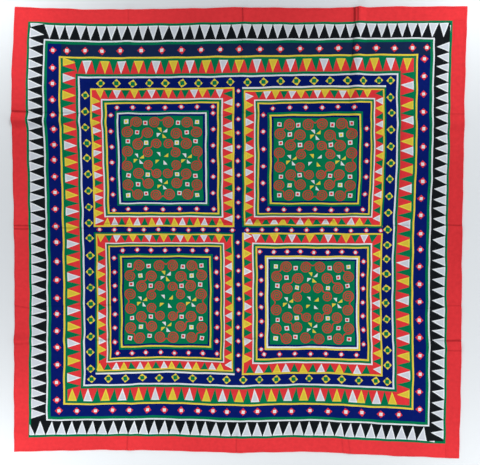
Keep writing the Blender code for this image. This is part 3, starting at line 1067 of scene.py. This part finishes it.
class QUILT_OT_edgings(bpy.types.Operator):
    """Makes the narrow edgings round the quilt and round its blocks, one piece for each colour"""

    bl_idname = "quilt.edgings"
    bl_label = "Narrow edgings"

    def execute(self, context):
        low = THICKNESS - RIM_DEPTH
        high = THICKNESS + context.scene.quilt_sizes.edging / MM
        works = {colour: Patchwork() for colour in ("green", "white", "yellow", "navy")}
        rng = np.random.default_rng(3)
        for colour, outer, inner in EDGINGS:
            works[colour].frame(SQUARE, [outer] * 4, [inner] * 4, low, high, rng.uniform(-0.1, 0.1))
        for block in BLOCK_LAYERS:
            rectangle = block_rectangle(block)
            for what, colour, outer, inner in block_offsets(block):
                if what == "edging":
                    tone = rng.uniform(-0.1, 0.1)
                    works[colour].frame(rectangle, outer, inner, low, high, tone)
            if block in EXTRA_STRIPS:
                side, width = EXTRA_STRIPS[block]
                ends = on_side(side, rectangle, rectangle[:2], [0, width])
                works["white"].box(*rectangle[:2], *sorted(ends[:, 1]), low, high, 0.0)
        for colour, work in works.items():
            work.sew(f"edging_{colour}", cloth(f"{colour}_cotton"), f"{colour}_cotton")
        return {"FINISHED"}


def block_offsets(block):
    """Each layer of a block as what it is, its colour, and its outer and inner edges' distances inside
    the block's left, top, right and bottom sides. The layers share out the width of the strip that
    they lie on, and a side with an extra strip starts that much further in. The strip of diamonds
    starts at the edging outside its diamonds."""
    layers = BLOCK_LAYERS[block]
    side, width = EXTRA_STRIPS.get(block, ("top", 0.0))
    edge = np.array([width if s == side else 0.0 for s in SIDES])
    seam = np.array(BLOCKS[block]["teeth"])
    split = [layer[0] for layer in layers].index("diamonds") - 1
    found = []
    for part, start, stop in ((layers[:split], edge, seam), (layers[split:], seam, seam + BLOCKS[block]["diamonds"])):
        ends = np.cumsum([0.0] + [layer[1] for layer in part])
        ends = start + (ends / ends[-1])[:, None] * (stop - start)
        found += [(layer[0], layer[2], *ends[i : i + 2]) for i, layer in enumerate(part)]
    return found


class QUILT_OT_saw_band(bpy.types.Operator):
    """Makes the black band with its white saw teeth"""

    bl_idname = "quilt.saw_band"
    bl_label = "Saw band"

    def execute(self, context):
        boxes = ring_strips("saw_band")[0]
        made = ground("saw_cloth", list(boxes.values()), [f"saw_band_{s}" for s in boxes], "black_cotton", 4)
        rim, top, *rest = heights()
        work = Patchwork()
        rng = np.random.default_rng(5)
        for side, count, first, last, tip, lean_first, lean_last in SAW_TEETH:
            measured = spread_out(count + 1, (first, last)) + rng.normal(0, 1.5, count + 1)
            borders = pattern_places(measured, side, side_level(side, SQUARE, SAW_BASE))
            bases = np.sort(np.stack([borders[:-1], borders[1:]], 1), axis=1) + np.array([0.4, -0.4])
            lean = np.linspace(lean_first, lean_last, count) + rng.normal(0, 2.0, count)
            apexes = bases.mean(1) + lean
            tones = rng.uniform(-0.12, 0.12, count)
            teeth(work, side, SQUARE, bases, apexes, (SAW_BASE, tip), (7, 10), (rim, top), tones)
        wedges = laid_points(np.add(SAW_WEDGES, MEASURED_FROM))
        corners = np.stack([wedges[:, 0], wedges[:, 1], (wedges[:, 1] + wedges[:, 2]) / 2, wedges[:, 2]], 1)
        work.quads(corners, (6, 4), rim, top, np.zeros(len(corners)))
        teeth_piece = work.sew("saw_teeth_white", cloth("white_cotton"), "white_cotton")
        declare(made)
        return {"FINISHED"}


class QUILT_OT_diamond_bands(bpy.types.Operator):
    """Makes the outer and inner navy bands and the sash, with all their diamonds"""

    bl_idname = "quilt.diamond_bands"
    bl_label = "Diamond bands and sash"

    def execute(self, context):
        rim, top, rim_on_top, above = heights()
        reds, whites, yellows, greens = Patchwork(), Patchwork(), Patchwork(), Patchwork()
        rng = np.random.default_rng(6)
        for rows, line, outer, inner, sizes in (
            (OUTER_DIAMONDS, OUTER_DIAMOND_LINE, reds, whites, (18.5, 10.8)),
            (INNER_DIAMONDS, INNER_DIAMOND_LINE, yellows, greens, (20.5, 14.0)),
        ):
            for side, count, stations in rows:
                along = pattern_places(spread_out(count, stations), side, side_level(side, SQUARE, line))
                centres = on_side(side, SQUARE, along + rng.normal(0, 1.5, count), line)
                centres = centres + rng.normal(0, 1.2, centres.shape)
                diamonds(outer, centres, sizes[0], (5, 5), rim, top, rng)
                diamonds(inner, centres, sizes[1], (3, 3), rim_on_top, above, rng, turned=0.125)
        for runs, count, first, last in SASH_DIAMONDS:
            side, level = ("left", 0.0) if runs == "up" else ("top", 0.0)
            along = pattern_places(np.linspace(first, last, count), side, level)
            centres = np.stack([np.full(count, level), along], 1)
            centres = (centres if runs == "up" else centres[:, ::-1]) + rng.normal(0, 1.0, (count, 2))
            diamonds(reds, centres, 13.5, (4, 4), rim, top, rng)
            diamonds(whites, centres, 8.5, (2, 2), rim_on_top, above, rng, turned=0.125)
        for block, side, colours, first, last, count, first_diamond, last_diamond in BLOCK_ROWS:
            rectangle = block_rectangle(block)
            layer = next(row for row in block_offsets(block) if row[0] == "diamonds")
            line = np.mean(layer[2:], axis=0)[list(SIDES).index(side)]
            level = side_level(side, rectangle, line)
            along = pattern_places(np.linspace(first_diamond, last_diamond, count), side, level)
            centres = on_side(side, rectangle, along, line) + rng.normal(0, 1.0, (count, 2))
            diamonds(reds, centres, 14.5, (4, 4), rim, top, rng)
            diamonds(whites, centres, 9.0, (2, 2), rim_on_top, above, rng, turned=0.125)
        sewn = {
            "diamonds_red": reds.sew("diamonds_red", cloth("red_cotton"), "red_cotton"),
            "diamonds_yellow": yellows.sew("diamonds_yellow", cloth("yellow_cotton"), "yellow_cotton"),
            "centres_white": whites.sew("diamond_centres_white", cloth("white_cotton"), "white_cotton"),
            "centres_green": greens.sew("diamond_centres_green", cloth("green_cotton"), "green_cotton"),
        }
        boxes = ring_strips("diamond_band")[0]
        faded = boxes.pop("top")
        made = ground(
            "diamond_cloth", list(boxes.values()), [f"diamond_band_{s}" for s in boxes], "navy_cotton", 7
        )
        declare(made)
        declare(ground("diamond_cloth_top", [faded], ["diamond_band_top"], "faded_navy_cotton", 8))
        boxes = ring_strips("inner_band")[0]
        made = ground("inner_cloth", list(boxes.values()), [f"inner_band_{s}" for s in boxes], "navy_cotton", 9)
        declare(made)
        end = INNER_HALF
        sash = {
            "sash_up": (-HALF_UPRIGHT, HALF_UPRIGHT, -end, end),
            "sash_left": (-end, -HALF_UPRIGHT, -HALF_ARM, HALF_ARM),
            "sash_right": (HALF_UPRIGHT, end, -HALF_ARM, HALF_ARM),
        }
        declare(ground("sash_cloth", list(sash.values()), list(sash), "navy_cotton", 10))
        return {"FINISHED"}


class QUILT_OT_toothed_bands(bpy.types.Operator):
    """Makes the triangle band and the toothed strips round the blocks"""

    bl_idname = "quilt.toothed_bands"
    bl_label = "Triangle band and toothed strips"

    def execute(self, context):
        rim, top, rim_on_top, above = heights()
        works = {"W": Patchwork(), "Y": Patchwork(), "G": Patchwork()}
        red = Patchwork()
        rng = np.random.default_rng(11)
        red.frame(SQUARE, [TRIANGLE_BASE] * 4, [TRIANGLE_TIP] * 4, rim, top, 0.0)
        for side, colours, stations, before, after in TRIANGLES:
            level = side_level(side, SQUARE, TRIANGLE_BASE)
            centres = pattern_places(spread_out(len(colours), stations), side, level)
            centres = centres + rng.normal(0, 1.5, len(centres))
            gaps = np.diff(centres)
            greens = (centres[:-1] + centres[1:]) / 2
            if before:
                greens = np.append(greens, centres[0] - gaps[0] / 2)
            if after:
                greens = np.append(greens, centres[-1] + gaps[-1] / 2)
            for letter, half_base in (("W", 21.5), ("Y", 21.5), ("G", 18.5)):
                own = greens if letter == "G" else centres[[c == letter for c in colours]]
                bases = own[:, None] + np.array([-half_base, half_base])
                apexes = own + rng.normal(0, 2.0, len(own))
                tones = rng.uniform(-0.12, 0.12, len(own))
                teeth(works[letter], side, SQUARE, bases, apexes, (TRIANGLE_BASE - 0.5, TRIANGLE_TIP - 1),
                      (6, 9), (rim_on_top, above), tones)
        for block, side, colours, first, last, *rest in BLOCK_ROWS:
            rectangle = block_rectangle(block)
            layer = next(row for row in block_offsets(block) if row[0] == "teeth")
            outer, inner = np.array(layer[2:])[:, list(SIDES).index(side)]
            level = side_level(side, rectangle, outer)
            centres = pattern_places(np.linspace(first, last, len(colours)), side, level)
            half_base = abs(centres[-1] - centres[0]) / (len(colours) - 1) / 2 - 0.3
            shown = np.ones(len(colours))
            if (block, side) == TUCKED_TEETH[:2]:
                shown[: len(TUCKED_TEETH[2])] = TUCKED_TEETH[2]
            for letter, work in works.items():
                picked = np.array([c == letter for c in colours])
                own = centres[picked]
                bases = own[:, None] + np.array([-half_base, half_base]) + rng.normal(0, 0.5, (len(own), 2))
                apexes = own + rng.normal(0, 2.0, len(own))
                tones = rng.uniform(-0.15, 0.15, len(own))
                teeth(work, side, rectangle, bases, apexes, (outer, inner - 2), (5, 6), (rim, top), tones,
                      shown[picked])
        sewn = [red.sew("triangle_strip_red", cloth("red_cotton"), "red_cotton")]
        for letter, work in works.items():
            colour = COLOUR_SLOTS[letter]
            sewn.append(work.sew(f"teeth_{colour}", cloth(f"{colour}_cotton"), f"{colour}_cotton"))
        sewn += [bpy.data.objects[f"edging_{colour}"] for colour in ("green", "white", "yellow", "navy")]
        boxes = ring_strips("triangle_band")[0]
        nodes = [f"triangle_band_{s}" for s in boxes]
        declare(ground("triangle_cloth", list(boxes.values()), nodes, "green_cotton", 12))
        return {"FINISHED"}


class QUILT_OT_blocks(bpy.types.Operator):
    """Makes the ground cloths of the four blocks"""

    bl_idname = "quilt.blocks"
    bl_label = "Block cloths"

    def execute(self, context):
        for seed, block in enumerate(BLOCKS, start=13):
            inner = block_rectangle(block)
            for strip, slot in BLOCK_STRIPS.items():
                boxes, inner = framed(inner, BLOCKS[block][strip])
                nodes = [f"{block}_{strip}_{s}" for s in boxes]
                declare(ground(f"{block}_{strip}_cloth", list(boxes.values()), nodes, slot, seed))
            made = ground(f"{block}_field_cloth", [inner], [f"{block}_field"], "green_cotton", seed)
            declare(made)
        return {"FINISHED"}


def turned_ways(pair, kind):
    """The copies of a pair of points that the square's symmetry gives: the four ways of a corner pair,
    or the four quarter turns of a side pair."""
    points = np.array(pair, float)
    if kind == "corner":
        return [points * np.array(way) for way in EVERY_WAY]
    turns = [points]
    for step in range(3):
        last = turns[-1]
        turns.append(np.stack([-last[:, 1], last[:, 0]], 1))
    return turns


def spiral(centre, radius, start, way):
    """Points of a spiral from its rim at the angle start to its eye: the radius is kept for the first
    part of a turn and then shrinks by the pitch each turn, as the angle grows the way that is given."""
    rim = radius - SPIRAL_WIDTH / 2
    turns = (rim - SPIRAL_EYE) / SPIRAL_PITCH + SPIRAL_RIM
    turned = np.linspace(0, turns, int(turns * SPIRAL_STEPS) + 1)
    reach = rim - SPIRAL_PITCH * np.maximum(turned - SPIRAL_RIM, 0)
    theta = start + way * 2 * np.pi * turned
    return centre + reach[:, None] * np.stack([np.cos(theta), np.sin(theta)], 1)


def spiral_pair(work, middle, pair, radius, rng):
    """Two discs that one line winds: out of the first, in a bow towards the point halfway between them,
    a curve of the second degree, and into the second. The bow is on the side away from the middle of
    the field, which the centres are given from. The line is a low band with turned edges."""
    one, two = pair
    way = two - one
    angle = math.atan2(way[1], way[0])
    hand = math.copysign(1, way[0] * one[1] - way[1] * one[0])
    first = spiral(one, radius, angle + hand * SPIRAL_EXIT, hand)[::-1]
    last = spiral(two, radius, angle + math.pi - hand * SPIRAL_EXIT, -hand)
    t = np.linspace(0, 1, 9)[1:-1, None]
    bow = (1 - t) ** 2 * first[-1] + 2 * t * (1 - t) * (one + two) / 2 + t**2 * last[0]
    line = np.concatenate([first, bow, last])
    along = np.gradient(line, axis=0)
    along /= np.linalg.norm(along, axis=1, keepdims=True)
    half = SPIRAL_WIDTH / 2
    profile = np.array([half, half - TURNED_EDGE, TURNED_EDGE - half, -half])
    rim, top, *rest = heights()
    h = np.where(abs(profile) < half, top, rim)
    u = middle[0] + line[:, :1] - along[:, 1:] * profile
    v = middle[1] + line[:, 1:] + along[:, :1] * profile
    work.grids(u[None], v[None], np.broadcast_to(h, (1, *u.shape)), 0.0, rng.uniform(-0.15, 0.15))


class QUILT_OT_fields(bpy.types.Operator):
    """Makes the spiral discs, squares and pinwheels of the four fields"""

    bl_idname = "quilt.fields"
    bl_label = "Fields"

    def execute(self, context):
        rim, top, rim_on_top, above = heights()
        spirals, squares, reds, yellows = Patchwork(), Patchwork(), Patchwork(), Patchwork()
        blades = {"white": Patchwork(), "yellow": Patchwork()}
        rng = np.random.default_rng(20)
        for block in BLOCKS:
            spans = np.reshape(block_field(block), (2, 2))
            middle = spans.mean(1)
            stretch = np.diff(spans)[:, 0] / 2 / FIELD_HALF
            for radius, one, two, kind in DISC_PAIRS:
                for pair in turned_ways((one, two), kind):
                    spiral_pair(spirals, middle, pair * stretch + rng.normal(0, 1.2, (2, 2)), radius, rng)
            for a, b in FIELD_SQUARES:
                places = [(a * x, b * y) for x, y in EVERY_WAY]
                places += [(b * x, a * y) for x, y in EVERY_WAY] if a != b else []
                centres = middle + np.array(places) * stretch + rng.normal(0, 1.0, (len(places), 2))
                diamonds(squares, centres, SQUARE_REACH, (3, 3), rim, top, rng, turned=0.125)
                yellow = [a == b and way in YELLOW_CENTRES[block][a] for way in EVERY_WAY]
                yellow = np.array(yellow + [False] * (len(places) - len(EVERY_WAY)))
                for own, work in ((centres[yellow], yellows), (centres[~yellow], reds)):
                    if len(own):
                        diamonds(work, own, SQUARE_CENTRE_REACH, (2, 2), rim_on_top, above, rng, turned=0.125)
            for name, centre, apart in PINWHEELS:
                blade = np.array(BLADE, float) + np.array([-apart, apart])
                for step in range(4):
                    corners = blade + rng.normal(0, 0.8, (3, 2)) + middle + np.array(centre) * stretch
                    corners = np.array([corners[0], corners[1], (corners[1] + corners[2]) / 2, corners[2]])
                    upper_left_yellow = name in YELLOW_BLADES[block]
                    colour = "yellow" if (step % 2 == 0) == upper_left_yellow else "white"
                    blades[colour].quads(corners[None], (3, 3), rim, top, 0.0)
                    blade = np.stack([blade[:, 1], -blade[:, 0]], 1)
        spirals.sew("spiral_discs", cloth("disc_red"), "red_cotton")
        squares.sew("field_squares", cloth("white_cotton"), "white_cotton")
        reds.sew("square_centres_red", cloth("red_cotton"), "red_cotton")
        yellows.sew("square_centres_yellow", cloth("yellow_cotton"), "yellow_cotton")
        for colour, work in blades.items():
            work.sew(f"pinwheels_{colour}", cloth(f"{colour}_cotton"), f"{colour}_cotton")
        return {"FINISHED"}


# The lamps: four by the corners, which brighten the border there, and soft ones past the bottom and
# right edges: name, place in metres, size in metres, power in watts
LAMPS = (
    ("lamp_nw", (-1.3, 1.25, 0.55), 0.35, 3.1),
    ("lamp_ne", (1.3, 1.25, 0.55), 0.35, 3.0),
    ("lamp_sw", (-1.3, -1.25, 0.55), 0.35, 1.4),
    ("lamp_se", (1.3, -1.25, 0.55), 0.35, 1.2),
    ("lamp_below", (-0.9, -2.8, 1.2), 2.0, 41.0),
    ("lamp_right", (2.8, -0.5, 1.2), 2.0, 16.0),
)


class QUILT_OT_stage(bpy.types.Operator):
    """Makes the pale floor, the soft light and the camera straight above"""

    bl_idname = "quilt.stage"
    bl_label = "Stage"

    def execute(self, context):
        scene = context.scene
        reach = 12.0
        mesh = bpy.data.meshes.new("floor")
        corners = [(-reach, -reach, -MM), (reach, -reach, -MM), (reach, reach, -MM), (-reach, reach, -MM)]
        mesh.from_pydata(corners, [], [(0, 1, 2, 3)])
        pale = bpy.data.materials.new("pale_floor")
        pale.use_nodes = True
        Graph(pale.node_tree).fill(
            pale.node_tree.nodes["Principled BSDF"],
            {"Base Color": (0.79, 0.82, 0.84, 1.0), "Roughness": 0.9, "Specular IOR Level": 0.1},
        )
        mesh.materials.append(pale)
        floor = bpy.data.objects.new("floor", mesh)
        scene.collection.objects.link(floor)
        key = bpy.data.lights.new("key", "SUN")
        key.energy = 1.13
        key.angle = math.radians(14)
        lamp = bpy.data.objects.new("key", key)
        lamp.rotation_euler = (math.radians(-38), math.radians(34), 0)
        scene.collection.objects.link(lamp)
        world = bpy.data.worlds.new("soft_room")
        world.use_nodes = True
        sky = world.node_tree.nodes["Background"]
        sky.inputs["Color"].default_value = (0.93, 0.96, 1.0, 1.0)
        sky.inputs["Strength"].default_value = 0.35
        scene.world = world
        for name, place, size, power in LAMPS:
            disk = bpy.data.lights.new(name, "AREA")
            disk.energy = power
            disk.shape = "DISK"
            disk.size = size
            lamp = bpy.data.objects.new(name, disk)
            lamp.location = place
            lamp.rotation_euler = (Vector(place) * Vector((0.25, 0.25, 1))).to_track_quat("Z", "Y").to_euler()
            scene.collection.objects.link(lamp)
        camera = bpy.data.cameras.new("camera")
        camera.lens = 54.6
        camera.clip_end = 50
        eye = bpy.data.objects.new("camera", camera)
        eye.location = (0.0027, -0.0006, scene.quilt_sizes.camera_height)
        scene.collection.objects.link(eye)
        scene.camera = eye
        scene.view_settings.view_transform = "Standard"
        return {"FINISHED"}


class QUILT_PT_panel(bpy.types.Panel):
    """Lists the sizes, the colours and the steps"""

    bl_idname = "QUILT_PT_panel"
    bl_label = "Ralli quilt"
    bl_space_type = "VIEW_3D"
    bl_region_type = "UI"
    bl_category = "Quilt"

    def draw(self, context):
        for group in (context.scene.quilt_sizes, context.scene.quilt_colours):
            for name in group.__annotations__:
                self.layout.prop(group, name)
        for operator in OPERATORS:
            self.layout.operator(operator.bl_idname)


OPERATORS = (
    QUILT_OT_border,
    QUILT_OT_saw_band,
    QUILT_OT_diamond_bands,
    QUILT_OT_edgings,
    QUILT_OT_toothed_bands,
    QUILT_OT_fields,
    QUILT_OT_blocks,
    QUILT_OT_stage,
)
CLASSES = (QuiltColours, QuiltSizes, *OPERATORS, QUILT_PT_panel)


def register():
    for kind in CLASSES:
        bpy.utils.register_class(kind)
    bpy.types.Scene.quilt_colours = PointerProperty(type=QuiltColours)
    bpy.types.Scene.quilt_sizes = PointerProperty(type=QuiltSizes)


def unregister():
    del bpy.types.Scene.quilt_sizes
    del bpy.types.Scene.quilt_colours
    for kind in reversed(CLASSES):
        bpy.utils.unregister_class(kind)


def main():
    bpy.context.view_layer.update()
    register()
    bpy.ops.quilt.border()
    bpy.ops.quilt.saw_band()
    bpy.ops.quilt.diamond_bands()
    bpy.ops.quilt.edgings()
    bpy.ops.quilt.toothed_bands()
    bpy.ops.quilt.fields()
    bpy.ops.quilt.blocks()
    bpy.ops.quilt.stage()


if __name__ == "__main__":
    main()
